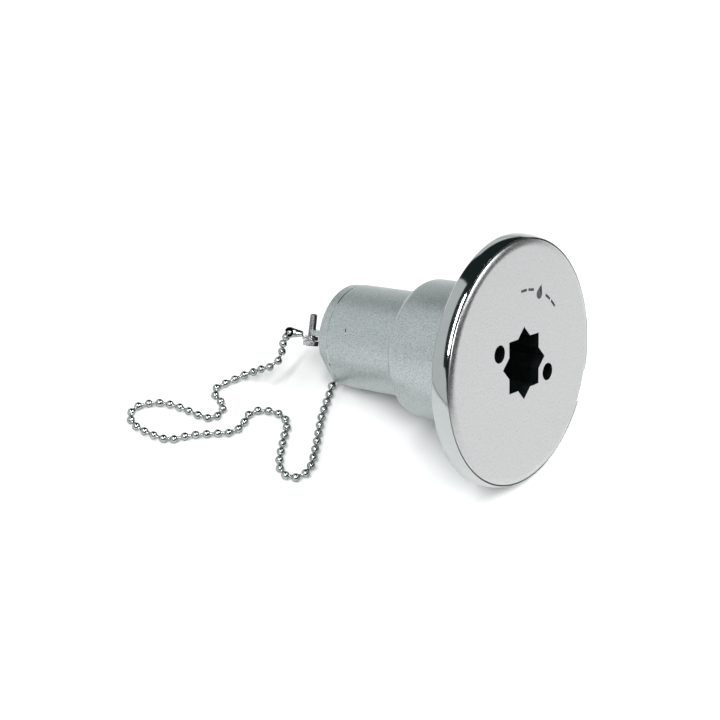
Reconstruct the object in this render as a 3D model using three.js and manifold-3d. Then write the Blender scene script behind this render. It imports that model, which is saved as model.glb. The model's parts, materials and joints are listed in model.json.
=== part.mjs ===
// Deck fill cap for a 38 mm hose: a flanged filler body, a screw cap with a star key socket that
// sits flush in the flange, and a ball chain that ties the cap to a lug at the end of the spigot.
//
// Every turned piece is drawn in the axis frame: z runs along the filler's axis and points out of
// the deck, z = 0 is the plane of the cap's face, and +y is the side that lies uppermost here.
// The whole filler then lies on its rim and on the end of its spigot, on the plane z = 0 of the
// part's frame, with the face looking along -y and up. All sizes are in millimetres.
import * as THREE from "three";
import { mergeVertices } from "three/addons/utils/BufferGeometryUtils.js";
import Module from "manifold-3d";

const wasm = await Module();
wasm.setup();

// ---- driving sizes ---------------------------------------------------------------------------
const TURN_SEGMENTS = 96; // facets round a turned piece, one of them centred at the bottom
const GAP = 0.3; // clearance kept between two neighbouring pieces

const CAP_R = 41.9;
const CAP_FLAT_R = 39.1; // where the flat face ends and the rounded shoulder starts
const CAP_SHOULDER_R = 4.9;
const CAP_PLATE = 3.6; // thickness of the cap's plate
const CAP_TURN = -46; // degrees the cap is turned, from pin holes on the x axis
const PLUG_R = 20.2; // threaded plug under the plate, drawn plain
const PLUG_END = -19.5;
const KEY_SQUARE = 17.8; // two squares at 45 degrees take a 17.5 mm winch handle
const KEY_DEPTH = 13;
const PIN_HOLE_R = 3.05;
const PIN_CIRCLE_R = 15.75;
const PIN_DEPTH = 6;
const MARK_R = 24.9; // radius of the arc that carries the engraved signs
const MARK_DEPTH = 0.35;

const RIM_R = 43.6;
const RIM_BACK = -6.73; // flat underside of the flange, which beds on the deck
const RIM_WIDEST = -6.3;
const RECESS_R = CAP_R + GAP;
const RECESS_FLOOR = -4;
const SEAL_SEAT_R = 23.4;
const SEAL_FLOOR = -6.9;
const SOCKET_R = 20.75; // threaded socket in the neck, drawn plain
const SOCKET_END = -25.5;
const NECK_R = 24.55;
const NECK_END = -40.67;
const BORE_R = 16.3;
const SPIGOT_R = 18.95;
const SPIGOT_TIP_R = 18.65;
const SPIGOT_END = -75.97;
const FIXING_CIRCLE_R = 33;
const FIXING_R = 2.25;

const SEAL_R = 21.85;
const SEAL_SECTION_R = 1.25;
const SEAL_Z = -5.2;

const LUG_ANGLE = 144.4; // where the chain lug stands, degrees round the axis from +x
const LUG_THICKNESS = 1.9;
const LUG_HOLE = { r: 15.7, z: -81.3 };
const LUG_END_R = 3.1;
const LINK_SPLAY = 27; // degrees the anchor tab points outwards from the axis

const BALL_R = 1.5; // balls of the chain
const COUPLING_R = 2.05;
const COUPLING_PITCH = 2.75; // between the two lobes of a chain coupling
const COUPLING_CAVITY_R = 1.75;
const COUPLING_WINDOW_R = 1.6;

// The filler rests on the flange's rim and on the tip of the spigot.
const SPIGOT_TIP_Z = -75.2;
const TILT = Math.atan2(RIM_R - SPIGOT_TIP_R, RIM_WIDEST - SPIGOT_TIP_Z);
const FACE_CENTRE = new THREE.Vector3(0, -37.466, 43.1306);

// Where the chain runs, in the part's own frame: it drops from the anchor coupling to the table,
// lies there in loops, and climbs over the spigot's lip and up the bore to the cap.
const DROP_ROUTE = [
  [-16.4, 51.3, 19.2], [-16.7, 52.6, 15.5], [-17.1, 52.9, 11.8],
  [-20.3, 52.1, 10.1], [-23.6, 53.6, 8.5], [-24.9, 56.8, 6.5], [-25.9, 59.8, 4.2],
  [-27.4, 62.6, 2.3], [-30.7, 64.5, 1.75], [-34.3, 66, 1.7], [-36.2, 66.8, 1.7],
];
const RUN_ROUTE = [
  [-37.2, 67.2, 1.65], [-38.9, 67.4, 1.65], [-41.5, 65.9, 1.65], [-42.8, 62.4, 1.65],
  [-44.7, 59.4, 1.65],
  [-48, 58.2, 1.65], [-51.4, 59, 1.65], [-52.8, 62.6, 1.65], [-54.1, 73, 1.65],
  [-56, 79, 1.65], [-60.5, 84, 1.65], [-64.2, 85.5, 1.65], [-67.6, 84, 1.65],
  [-69.9, 80.9, 1.65], [-70.2, 72.9, 1.65], [-68.3, 65.1, 1.65], [-62.5, 60.3, 1.65],
  [-57.4, 54.5, 1.65], [-52.4, 48.8, 1.65], [-48.6, 48, 1.65], [-41.2, 49.3, 1.65],
  [-38, 46.9, 1.65], [-35.8, 40.5, 1.65], [-37.6, 35.7, 1.65], [-44.8, 31.8, 1.65],
  [-52.2, 27.8, 1.65], [-55.7, 25.4, 1.65], [-57.8, 22.2, 1.65], [-57.6, 18.5, 1.65],
  [-54.6, 16.2, 1.65], [-50.7, 15.9, 1.65], [-43.1, 19.2, 1.65], [-35.8, 23, 1.65],
  [-28.3, 27, 1.65], [-20.4, 30.2, 1.65], [-16.6, 31.7, 1.75], [-13, 33, 2.3],
];
// The rest of the run in the axis frame, from the spigot's mouth to the cap's coupling.
const BORE_ROUTE = [
  [-8.6, -12, -78.4], [-6, -12.1, -74.5], [-3, -13.4, -67], [-1, -14.2, -58],
  [0, -14.3, -50], [0, -13.6, -42], [0, -11.9, -36.8], [0, -9.9, -33.3],
];

// ---- materials -------------------------------------------------------------------------------
const metal = (color, roughness) =>
  new THREE.MeshStandardMaterial({ color, roughness, metalness: 1 });
const satinSteel = metal(0xb9bcbe, 0.45);
const faceSteel = metal(0xc9cbcd, 0.4);
const brightSteel = metal(0xcfd1d3, 0.18);
const chainSteel = metal(0xc4c6c8, 0.15);
const blackRubber = new THREE.MeshStandardMaterial({ color: 0x17181a, roughness: 0.8 });

// ---- helpers ---------------------------------------------------------------------------------
const radians = THREE.MathUtils.degToRad;
const polar = (r, degrees) => [r * Math.cos(radians(degrees)), r * Math.sin(radians(degrees))];

// A closed three.js geometry as a solid that can be cut and joined.
function solid(geometry) {
  const bare = new THREE.BufferGeometry();
  bare.setAttribute("position", geometry.getAttribute("position"));
  bare.setIndex(geometry.index);
  const merged = mergeVertices(bare, 1e-4);
  const corners = merged.index.array;
  const kept = [];
  for (let i = 0; i < corners.length; i += 3) {
    const [a, b, c] = corners.slice(i, i + 3);
    if (a !== b && b !== c && c !== a) kept.push(a, b, c);
  }
  return new wasm.Manifold(
    new wasm.Mesh({
      numProp: 3,
      vertProperties: merged.getAttribute("position").array,
      triVerts: Uint32Array.from(kept),
    }),
  );
}

// A solid as a named mesh.
function piece(name, body, material) {
  const made = body.getMesh();
  const geometry = new THREE.BufferGeometry();
  geometry.setAttribute("position", new THREE.BufferAttribute(made.vertProperties, 3));
  geometry.setIndex(new THREE.BufferAttribute(made.triVerts, 1));
  geometry.computeVertexNormals();
  const mesh = new THREE.Mesh(geometry, material);
  mesh.name = name;
  return mesh;
}

// Turns a profile of [radius, z] points, listed from low z to high z on the outside.
function turned(profile, segments = TURN_SEGMENTS) {
  const points = profile.map(([r, z]) => new THREE.Vector2(r, z));
  const shape = new THREE.LatheGeometry(points, segments, Math.PI / segments);
  return solid(shape.rotateX(Math.PI / 2));
}

// Points on an arc in a profile, from one angle to another.
function arc(centre, radius, from, to, steps) {
  return Array.from({ length: steps + 1 }, (_, i) => {
    const [r, z] = polar(radius, from + ((to - from) * i) / steps);
    return [centre[0] + r, centre[1] + z];
  });
}

// An outline extruded along z between two heights.
function prism(outline, low, high) {
  const shape = outline instanceof THREE.Shape
    ? outline
    : new THREE.Shape(outline.map(([x, y]) => new THREE.Vector2(x, y)));
  const geometry = new THREE.ExtrudeGeometry(shape, {
    depth: high - low,
    bevelEnabled: false,
    curveSegments: 16,
  });
  return solid(geometry.translate(0, 0, low));
}

function block(low, high) {
  const size = high.map((v, i) => v - low[i]);
  const middle = high.map((v, i) => (v + low[i]) / 2);
  return solid(new THREE.BoxGeometry(...size).translate(...middle));
}

// A straight round rod along z, with its own radius at each end.
function rod(lowR, highR, low, high, segments = 32) {
  const geometry = new THREE.CylinderGeometry(highR, lowR, high - low, segments);
  return solid(geometry.rotateX(Math.PI / 2).translate(0, 0, (low + high) / 2));
}

const ball = (radius, [x, y, z], segments = 16) =>
  solid(new THREE.SphereGeometry(radius, segments, segments / 2).translate(x, y, z));

// Moves a solid into the frame given by three axes and an origin.
function placed(body, xAxis, yAxis, zAxis, origin) {
  const m = new THREE.Matrix4().makeBasis(xAxis, yAxis, zAxis).setPosition(origin);
  return body.transform(m.toArray());
}

// ---- the filler body -------------------------------------------------------------------------
// Flange, neck and hose spigot are one casting of revolution.
function bodyOfRevolution() {
  return turned([
    [BORE_R, SPIGOT_END],
    [SPIGOT_TIP_R - 0.75, SPIGOT_END],
    [SPIGOT_TIP_R, SPIGOT_TIP_Z],
    [SPIGOT_TIP_R, -72.6],
    [SPIGOT_R, -72.3],
    [SPIGOT_R, NECK_END - 1.2],
    ...arc([SPIGOT_R + 1.2, NECK_END - 1.2], 1.2, 150, 90, 3),
    ...arc([NECK_R - 3, NECK_END + 3], 3, -90, 0, 7),
    [NECK_R, -30],
    [NECK_R - 0.3, -7.9],
    [NECK_R + 0.9, RIM_BACK],
    [RIM_R - 0.4, RIM_BACK],
    ...arc([RIM_R - 12.9, RIM_WIDEST], 12.9, 0, 24.3, 7),
    [RECESS_R + 0.1, -0.95],
    [RECESS_R, -1.1],
    [RECESS_R, RECESS_FLOOR],
    [SEAL_SEAT_R, RECESS_FLOOR],
    [SEAL_SEAT_R, SEAL_FLOOR],
    [SOCKET_R, SEAL_FLOOR],
    [SOCKET_R, SOCKET_END],
    [BORE_R, SOCKET_END - 4.5],
    [BORE_R, SPIGOT_END],
  ]);
}

// The frame of the lug: x radial, y along the axis, z the direction of the anchor screw.
function lugFrame() {
  const [c, s] = polar(1, LUG_ANGLE);
  return {
    radial: new THREE.Vector3(c, s, 0),
    axial: new THREE.Vector3(0, 0, 1),
    screw: new THREE.Vector3(s, -c, 0),
    hole: new THREE.Vector3(c * LUG_HOLE.r, s * LUG_HOLE.r, LUG_HOLE.z),
  };
}

// A flat lug that carries on the spigot's wall past its end, rounded round the screw hole.
function lug() {
  const { radial, axial, screw } = lugFrame();
  const outline = [
    [16.6, -69],
    [18.7, -69],
    ...arc([LUG_HOLE.r, LUG_HOLE.z], LUG_END_R, 0, -180, 14),
    [LUG_HOLE.r - LUG_END_R, -75.5],
  ];
  const plate = prism(outline.reverse(), -LUG_THICKNESS / 2, LUG_THICKNESS / 2);
  return placed(plate, radial, axial, screw, new THREE.Vector3());
}

function lugHole() {
  const { radial, axial, screw, hole } = lugFrame();
  return placed(rod(1.6, 1.6, -3, 3, 20), radial, axial, screw, hole);
}

// The ground bevel on one side of the spigot's end, between two points of the end circle.
function spigotBevel() {
  const middle = 188.4;
  const chord = SPIGOT_R * Math.cos(radians(29));
  const [c, s] = polar(1, middle);
  const out = new THREE.Vector3(c, s, -1).normalize();
  const along = new THREE.Vector3(-s, c, 0);
  const third = new THREE.Vector3().crossVectors(out, along);
  const edge = new THREE.Vector3(c * chord, s * chord, SPIGOT_END);
  return placed(block([0, -20, -12], [12, 20, 12]), out, along, third, edge);
}

// Countersunk holes for the three deck screws, under the cap.
function fixingHoles() {
  return [90, 210, 330].map((angle) => {
    const hole = rod(FIXING_R, FIXING_R, -8, -3, 24);
    const sink = rod(FIXING_R, 4.5, RECESS_FLOOR - 2.2, RECESS_FLOOR + 0.05, 24);
    return hole.add(sink).translate([...polar(FIXING_CIRCLE_R, angle), 0]);
  });
}

function fillerBody() {
  let body = bodyOfRevolution().add(lug()).subtract(lugHole()).subtract(spigotBevel());
  for (const hole of fixingHoles()) body = body.subtract(hole);
  return piece("filler_body", body, satinSteel);
}

// ---- the cap ---------------------------------------------------------------------------------
function capBlank() {
  const reach = 33; // degrees of the shoulder's arc
  return turned([
    [0, PLUG_END],
    [PLUG_R - 1, PLUG_END],
    [PLUG_R, PLUG_END + 1],
    [PLUG_R, -CAP_PLATE],
    [CAP_R - 0.3, -CAP_PLATE],
    [CAP_R, -CAP_PLATE + 0.3],
    [CAP_R, -1],
    ...arc([CAP_FLAT_R, -CAP_SHOULDER_R], CAP_SHOULDER_R, 90 - reach, 90, 6),
    [0, 0],
  ]);
}

// Two squares, one turned by 45 degrees, as one eight-pointed prism.
function starSocket() {
  const half = KEY_SQUARE / 2;
  const square = block([-half, -half, -KEY_DEPTH], [half, half, 1]);
  return square.rotate([0, 0, 22.5]).add(square.rotate([0, 0, -22.5]));
}

function pinHole(side) {
  return rod(PIN_HOLE_R, PIN_HOLE_R, -PIN_DEPTH, 1).translate([side * PIN_CIRCLE_R, 0, 0]);
}

// Generic signs engraved on an arc: a drop, with two short dashes on either side of it.
function engravedMark() {
  const drop = new THREE.Shape();
  drop.moveTo(0, 2.6);
  drop.bezierCurveTo(0.5, 1.3, 1.7, 0.3, 1.7, -0.9);
  drop.bezierCurveTo(1.7, -3.1, -1.7, -3.1, -1.7, -0.9);
  drop.bezierCurveTo(-1.7, 0.3, -0.5, 1.3, 0, 2.6);
  const signs = [prism(drop, -MARK_DEPTH, 1).translate([0, MARK_R, 0])];
  for (const angle of [-23, -13, 13, 23]) {
    const dash = block([-1.7, MARK_R - 0.45, -MARK_DEPTH], [1.7, MARK_R + 0.45, 1]);
    signs.push(dash.rotate([0, 0, angle]));
  }
  return signs;
}

function cap() {
  let body = capBlank().subtract(starSocket()).subtract(pinHole(1)).subtract(pinHole(-1));
  for (const sign of engravedMark()) body = body.subtract(sign);
  body = body.subtract(rod(2.3, 2.3, PLUG_END - 1, -14.6, 24));
  return piece("cap", body.rotate([0, 0, CAP_TURN]), faceSteel);
}

function capSeal() {
  const ring = new THREE.TorusGeometry(SEAL_R, SEAL_SECTION_R, 10, 60);
  return piece("cap_o_ring", solid(ring.translate(0, 0, SEAL_Z)), blackRubber);
}

// ---- the chain swivel under the cap ----------------------------------------------------------
// A shoulder screw in the plug's end holds a tab that stays still while the cap turns.
const SWIVEL_TAB_TOP = PLUG_END - GAP;
const SWIVEL_TAB = 0.6;
const SWIVEL_LEG_Y = -8.4;
const CAP_LINK = { bead: [0, -8.7, -28.4], end: [0, -8.7, -28.4 - COUPLING_PITCH] };

function swivelScrew() {
  const head = SWIVEL_TAB_TOP - SWIVEL_TAB - GAP - 0.8 - GAP;
  const body = turned([
    [0, head - 2.4],
    [2.9, head - 2.4],
    [3.6, head - 1.7],
    [3.6, head],
    [2, head],
    [2, -14.9],
    [0, -14.9],
  ], 32);
  return piece("swivel_screw", body, brightSteel);
}

function swivelWasher() {
  const top = SWIVEL_TAB_TOP - SWIVEL_TAB - GAP;
  const body = rod(4.4, 4.4, top - 0.8, top).subtract(rod(2.35, 2.35, top - 2, top + 2));
  return piece("swivel_washer", body, brightSteel);
}

function swivelTab() {
  const low = SWIVEL_TAB_TOP - SWIVEL_TAB;
  const eye = rod(4.6, 4.6, low, SWIVEL_TAB_TOP);
  const strip = block([-2.4, SWIVEL_LEG_Y - SWIVEL_TAB, low], [2.4, 0, SWIVEL_TAB_TOP]);
  const leg = prism([[-2.4, low + 0.3], [-2.4, -24.5], [-0.35, -26.4], [-0.35, -28],
    [0.35, -28], [0.35, -26.4], [2.4, -24.5], [2.4, low + 0.3]], 0, SWIVEL_TAB);
  const upright = placed(leg, new THREE.Vector3(1, 0, 0), new THREE.Vector3(0, 0, 1),
    new THREE.Vector3(0, -1, 0), new THREE.Vector3(0, SWIVEL_LEG_Y, 0));
  const body = eye.add(strip).add(upright).add(ball(1, CAP_LINK.bead));
  return piece("swivel_tab", body.subtract(rod(2.35, 2.35, low - 1, low + 2, 24)), brightSteel);
}

// ---- chain couplings -------------------------------------------------------------------------
// A thin shell in the shape of a capsule from x = 0 to x = COUPLING_PITCH, with a round window
// over the chain's ball at the far end, and a slot for the tab's neck and the ball's.
function couplingShell() {
  const capsule = (r) => solid(
    new THREE.CapsuleGeometry(r, COUPLING_PITCH, 6, 20)
      .rotateZ(-Math.PI / 2)
      .translate(COUPLING_PITCH / 2, 0, 0),
  );
  const slot = block([-3, -1.15, -0.65], [COUPLING_PITCH + 3, 1.15, 0.65]);
  const window = rod(COUPLING_WINDOW_R, COUPLING_WINDOW_R, -3, 3, 20);
  return capsule(COUPLING_R)
    .subtract(capsule(COUPLING_CAVITY_R))
    .subtract(slot)
    .subtract(window.translate([COUPLING_PITCH, 0, 0]));
}

function capCoupling() {
  const down = new THREE.Vector3(0, 0, -1);
  const side = new THREE.Vector3(1, 0, 0);
  const across = new THREE.Vector3().crossVectors(side, down);
  const bead = new THREE.Vector3(...CAP_LINK.bead);
  return piece("cap_coupling", placed(couplingShell(), down, across, side, bead), brightSteel);
}

function capEndBall() {
  return piece("cap_end_ball", ball(1.1, CAP_LINK.end), chainSteel);
}

// ---- the anchor on the lug -------------------------------------------------------------------
// The frame of the anchor's tab: x along the tab, z along the screw, origin at the lug's hole.
const TAB_THICKNESS = 1.4; // two leaves of strip, folded together
const TAB_CLEARANCE = 0.6; // under the lug
const TAB_TOP = -LUG_THICKNESS / 2 - TAB_CLEARANCE;
const TAB_LOW = TAB_TOP - TAB_THICKNESS;
const LINK_Z = -1.15; // height of the coupling's centre line
const LINK_START = LUG_END_R + GAP + COUPLING_R;

function linkFrame() {
  const { radial, axial, screw, hole } = lugFrame();
  const splay = radians(LINK_SPLAY);
  const along = radial.clone().multiplyScalar(Math.sin(splay))
    .addScaledVector(axial, -Math.cos(splay));
  const side = new THREE.Vector3().crossVectors(screw, along);
  return { along, side, screw, hole };
}

function inLinkFrame(body) {
  const { along, side, screw, hole } = linkFrame();
  return placed(body, along, side, screw, hole);
}

function anchorScrew() {
  const head = TAB_LOW - GAP;
  const tip = LUG_THICKNESS / 2 + 5.6;
  const body = turned([
    [0, head - 1.7],
    [2.5, head - 1.7],
    [2.8, head - 1.4],
    [2.8, head],
    [1.3, head],
    [1.3, tip - 0.4],
    [0.9, tip],
    [0, tip],
  ], 24);
  return piece("anchor_screw", inLinkFrame(body), brightSteel);
}

function anchorTab() {
  const eye = rod(2.6, 2.6, TAB_LOW, TAB_TOP);
  const strip = prism([[0, -1.7], [2.5, -1.7], [3.1, -1.1], [3.1, 1.1], [2.5, 1.7], [0, 1.7]],
    TAB_LOW, TAB_TOP);
  const neck = block([2.6, -0.35, TAB_TOP - 0.4], [LINK_START, 0.35, TAB_TOP + 0.3]);
  const body = eye.add(strip).add(neck).add(ball(1, [LINK_START, 0, LINK_Z]))
    .subtract(rod(1.65, 1.65, TAB_LOW - 1, TAB_LOW + 3, 20));
  return piece("anchor_tab", inLinkFrame(body), brightSteel);
}

function anchorCoupling() {
  const shell = couplingShell().rotate([90, 0, 0]).translate([LINK_START, 0, LINK_Z]);
  return piece("anchor_coupling", inLinkFrame(shell), brightSteel);
}

function anchorEndBall() {
  const body = ball(1.1, [LINK_START + COUPLING_PITCH, 0, LINK_Z]);
  return piece("anchor_end_ball", inLinkFrame(body), chainSteel);
}

// ---- the ball chain --------------------------------------------------------------------------
// The chain as a plain tube as thick as its balls, along a smooth curve through the route.
function chain(name, route, steps) {
  const outline = new THREE.Shape();
  for (let i = 0; i < 8; i += 1) {
    const [x, y] = polar(BALL_R, 45 * i);
    if (i === 0) outline.moveTo(x, y);
    else outline.lineTo(x, y);
  }
  const path = new THREE.CatmullRomCurve3(route, false, "centripetal");
  const tube = new THREE.ExtrudeGeometry(outline, { steps, extrudePath: path });
  return piece(name, solid(tube), chainSteel);
}

// ---- assembly --------------------------------------------------------------------------------
const filler = new THREE.Group();
filler.rotation.x = Math.PI / 2 - TILT;
filler.position.copy(FACE_CENTRE);
filler.updateMatrixWorld(true);
filler.add(
  fillerBody(),
  cap(),
  capSeal(),
  swivelScrew(),
  swivelWasher(),
  swivelTab(),
  capCoupling(),
  capEndBall(),
  anchorScrew(),
  anchorTab(),
  anchorCoupling(),
  anchorEndBall(),
);

const vectors = (points) => points.map((p) => new THREE.Vector3(...p));
const boreRoute = vectors(BORE_ROUTE).map((p) => p.applyMatrix4(filler.matrixWorld));
const root = new THREE.Group();
root.add(
  filler,
  chain("chain_drop", vectors(DROP_ROUTE), 12),
  chain("chain_run", [...vectors(RUN_ROUTE), ...boreRoute], 68),
);

export default root;
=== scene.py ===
"""Deck fill cap: the visual model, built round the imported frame.

Turned pieces are drawn in the axis frame: z points out of the deck along the filler's axis, z = 0
is the plane of the cap's face and +y is the uppermost side. Their sizes are in millimetres. Routes,
the camera and the lights are in the row frame, in metres.
"""
import json
import math

import bmesh
import bpy
from mathutils import Matrix, Vector

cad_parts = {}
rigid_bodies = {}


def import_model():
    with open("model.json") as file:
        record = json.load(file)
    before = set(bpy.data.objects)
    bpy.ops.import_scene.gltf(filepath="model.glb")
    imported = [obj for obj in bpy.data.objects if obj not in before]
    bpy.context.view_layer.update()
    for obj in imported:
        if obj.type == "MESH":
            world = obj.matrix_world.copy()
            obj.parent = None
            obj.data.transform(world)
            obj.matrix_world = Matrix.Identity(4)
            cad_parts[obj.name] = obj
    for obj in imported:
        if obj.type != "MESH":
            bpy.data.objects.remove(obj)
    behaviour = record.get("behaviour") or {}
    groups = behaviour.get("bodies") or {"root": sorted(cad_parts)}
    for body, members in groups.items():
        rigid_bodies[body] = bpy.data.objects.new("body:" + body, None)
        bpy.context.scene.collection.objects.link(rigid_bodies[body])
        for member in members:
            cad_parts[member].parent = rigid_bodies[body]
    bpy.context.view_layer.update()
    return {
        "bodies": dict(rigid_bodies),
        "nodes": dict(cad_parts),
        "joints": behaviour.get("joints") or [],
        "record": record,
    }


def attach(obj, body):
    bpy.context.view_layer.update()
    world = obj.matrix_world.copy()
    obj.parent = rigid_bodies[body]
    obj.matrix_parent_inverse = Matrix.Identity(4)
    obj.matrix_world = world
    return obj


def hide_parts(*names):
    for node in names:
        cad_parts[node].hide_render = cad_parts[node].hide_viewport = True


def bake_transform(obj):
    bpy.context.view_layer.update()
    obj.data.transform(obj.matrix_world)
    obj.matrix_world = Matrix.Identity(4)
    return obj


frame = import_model()

MM = 0.001

# ---- the axis frame --------------------------------------------------------------------------
JOINTS = {joint["name"]: joint for joint in frame["joints"]}
OUTWARD = Vector(JOINTS["cap_turn"]["axis"]).normalized()
FACE_CENTRE = Vector(JOINTS["cap_turn"]["pos_m"])
SIDE = Vector((1, 0, 0))
UPPER = OUTWARD.cross(SIDE)
AXIS_FRAME = Matrix.Translation(FACE_CENTRE) @ Matrix((SIDE, UPPER, OUTWARD)).transposed().to_4x4()

# ---- sizes of the object, in millimetres -----------------------------------------------------
SEGMENTS = 192

CAP_R = 41.9
CAP_FLAT_R = 39.1
CAP_SHOULDER_R = 4.9
CAP_PLATE = 3.6
CAP_TURN = -46  # degrees
PLUG_R = 20.2
PLUG_END = -19.5
KEY_SQUARE = 17.8
KEY_DEPTH = 13
PIN_HOLE_R = 3.05
PIN_CIRCLE_R = 15.75
PIN_DEPTH = 6
MARK_R = 24.9
MARK_DEPTH = 0.35
SWIVEL_HOLE_R = 2.3
SWIVEL_HOLE_TOP = -14.6
THREAD_PITCH = 2.309
PLUG_THREAD_ROOT = 19.3
PLUG_THREAD_CREST = 20.4
PLUG_THREAD_TOP = -8.6
SOCKET_THREAD_ROOT = 21.6
SOCKET_THREAD_CREST = 20.65
SOCKET_THREAD_TOP = -8.8

RIM_R = 43.6
RIM_BACK = -6.73
RIM_WIDEST = -6.3
RIM_ARC_R = 12.9
RECESS_R = 42.2
RECESS_FLOOR = -4
SEAL_SEAT_R = 23.4
SEAL_FLOOR = -6.9
SEAL_R = 21.85
SEAL_SECTION_R = 1.25
SEAL_Z = -5.2
SOCKET_END = -25.5
NECK_R = 24.55
NECK_MIDDLE = -30
NECK_END = -40.67
BORE_R = 16.3
SPIGOT_R = 18.95
SPIGOT_TIP_R = 18.65
SPIGOT_TIP_Z = -75.2
SPIGOT_END = -75.97
GROOVE_START = -71.8
GROOVE_END = -71.1
GROOVE_DEPTH = 0.27
BEVEL_ANGLE = 188.4
BEVEL_HALF_WIDTH = 29  # degrees
TICK_ANGLE = 136
TICK_Z = -63.4
FIXING_CIRCLE_R = 33
FIXING_R = 2.25
FIXING_HEAD_R = 4.5

LUG_ANGLE = 144.4
LUG_THICKNESS = 1.9
LUG_HOLE_OUT = 15.7  # from the filler's axis to the middle of the hole
LUG_HOLE_Z = -81.3
LUG_HOLE_R = 1.6
LUG_END_R = 3.1
LINK_SPLAY = 27  # degrees

BALL_R = 1.5
END_BALL_R = 1.2
GAP = 0.3  # running clearance between small parts
SHEET = 0.6
COUPLING_R = 2.05
COUPLING_PITCH = 2.75

# ---- the camera, in metres -------------------------------------------------------------------
CAMERA_AT = Vector((-0.32685, -0.19611, 0.39829))
CAMERA_TARGET = Vector((-0.01961, 0.01617, 0.03))
CAMERA_ROLL = 0.36  # degrees
CAMERA_LENS = 75
CAMERA_SENSOR = 36


def add_camera():
    data = bpy.data.cameras.new("camera")
    data.lens = CAMERA_LENS
    data.sensor_width = CAMERA_SENSOR
    data.clip_start = 0.01
    data.clip_end = 20
    camera = bpy.data.objects.new("camera", data)
    turn = (CAMERA_TARGET - CAMERA_AT).to_track_quat("-Z", "Y").to_matrix()
    roll = Matrix.Rotation(math.radians(CAMERA_ROLL), 3, "Z")
    camera.matrix_world = Matrix.Translation(CAMERA_AT) @ (turn @ roll).to_4x4()
    bpy.context.scene.collection.objects.link(camera)
    bpy.context.scene.camera = camera


add_camera()


# ---- mesh helpers ----------------------------------------------------------------------------
def polar(radius, degrees):
    angle = math.radians(degrees)
    return radius * math.cos(angle), radius * math.sin(angle)


def arc(centre, radius, start, end, steps):
    """Points on an arc round a centre, from one angle in degrees to another."""
    points = []
    for i in range(steps + 1):
        x, y = polar(radius, start + (end - start) * i / steps)
        points.append((centre[0] + x, centre[1] + y))
    return points


def rounded(corners, closed=False, step=15):
    """The outline through (x, y, radius) corners, each turned into an arc of that radius."""
    points = []
    for i, (x, y, radius) in enumerate(corners):
        here = Vector((x, y))
        is_end = not closed and i in (0, len(corners) - 1)
        if radius == 0 or is_end:
            points.append((x, y))
            continue
        back = (Vector(corners[i - 1][:2]) - here).normalized()
        on = (Vector(corners[(i + 1) % len(corners)][:2]) - here).normalized()
        half = back.angle(on) / 2
        centre = here + (back + on).normalized() * radius / math.sin(half)
        first = here + back * radius / math.tan(half) - centre
        last = here + on * radius / math.tan(half) - centre
        start = math.degrees(math.atan2(first.y, first.x))
        sweep = (math.degrees(math.atan2(last.y, last.x)) - start + 180) % 360 - 180
        steps = max(2, round(abs(sweep) / step))
        points += arc(centre, radius, start, start + sweep, steps)
    return points


def lathe(outline, segments=SEGMENTS, closed=False):
    """A mesh turned round z from (radius, z) points. A point at radius 0 is a pole."""
    mesh = bmesh.new()
    rings = []
    for radius, z in outline:
        if radius == 0:
            rings.append([mesh.verts.new((0, 0, z))])
            continue
        ring = []
        for i in range(segments):
            x, y = polar(radius, 360 * (i + 0.5) / segments)
            ring.append(mesh.verts.new((x, y, z)))
        rings.append(ring)
    pairs = list(zip(rings, rings[1:]))
    if closed:
        pairs.append((rings[-1], rings[0]))
    for low, high in pairs:
        for i in range(segments):
            a, b = low[i % len(low)], low[(i + 1) % len(low)]
            c, d = high[(i + 1) % len(high)], high[i % len(high)]
            corners = [v for n, v in enumerate((a, b, c, d)) if v not in (a, b, c, d)[:n]]
            mesh.faces.new(corners)
    bmesh.ops.recalc_face_normals(mesh, faces=mesh.faces)
    return mesh


def prism(outline, low, high):
    """An outline in x and y, extruded along z between two heights."""
    mesh = bmesh.new()
    floor = [mesh.verts.new((x, y, low)) for x, y in outline]
    roof = [mesh.verts.new((x, y, high)) for x, y in outline]
    mesh.faces.new(floor)
    mesh.faces.new(roof)
    for i in range(len(outline)):
        j = (i + 1) % len(outline)
        mesh.faces.new((floor[i], floor[j], roof[j], roof[i]))
    bmesh.ops.recalc_face_normals(mesh, faces=mesh.faces)
    return mesh


def block(low, high):
    """A box between two opposite corners."""
    (x0, y0, z0), (x1, y1, z1) = low, high
    return prism([(x0, y0), (x1, y0), (x1, y1), (x0, y1)], z0, z1)


def moved(mesh, matrix):
    mesh.transform(matrix)
    return mesh


def turned_by(degrees, axis="Z"):
    return Matrix.Rotation(math.radians(degrees), 4, axis)


def joined(meshes):
    """Several closed meshes as one, each a shell of its own."""
    whole = bmesh.new()
    scratch = bpy.data.meshes.new("scratch")
    for mesh in meshes:
        mesh.to_mesh(scratch)
        mesh.free()
        whole.from_mesh(scratch)
    bpy.data.meshes.remove(scratch)
    return whole


def object_from(name, mesh, material=None, matrix=AXIS_FRAME):
    """A mesh drawn in millimetres as an object in metres, placed by a frame."""
    mesh.transform(Matrix.Scale(MM, 4))
    data = bpy.data.meshes.new(name)
    mesh.to_mesh(data)
    mesh.free()
    obj = bpy.data.objects.new(name, data)
    obj.matrix_world = matrix
    bpy.context.scene.collection.objects.link(obj)
    if material:
        data.materials.append(material)
    return obj


def apply_modifiers(obj):
    bpy.context.view_layer.update()
    graph = bpy.context.evaluated_depsgraph_get()
    data = bpy.data.meshes.new_from_object(obj.evaluated_get(graph))
    old = obj.data
    obj.modifiers.clear()
    obj.data = data
    bpy.data.meshes.remove(old)


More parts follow.
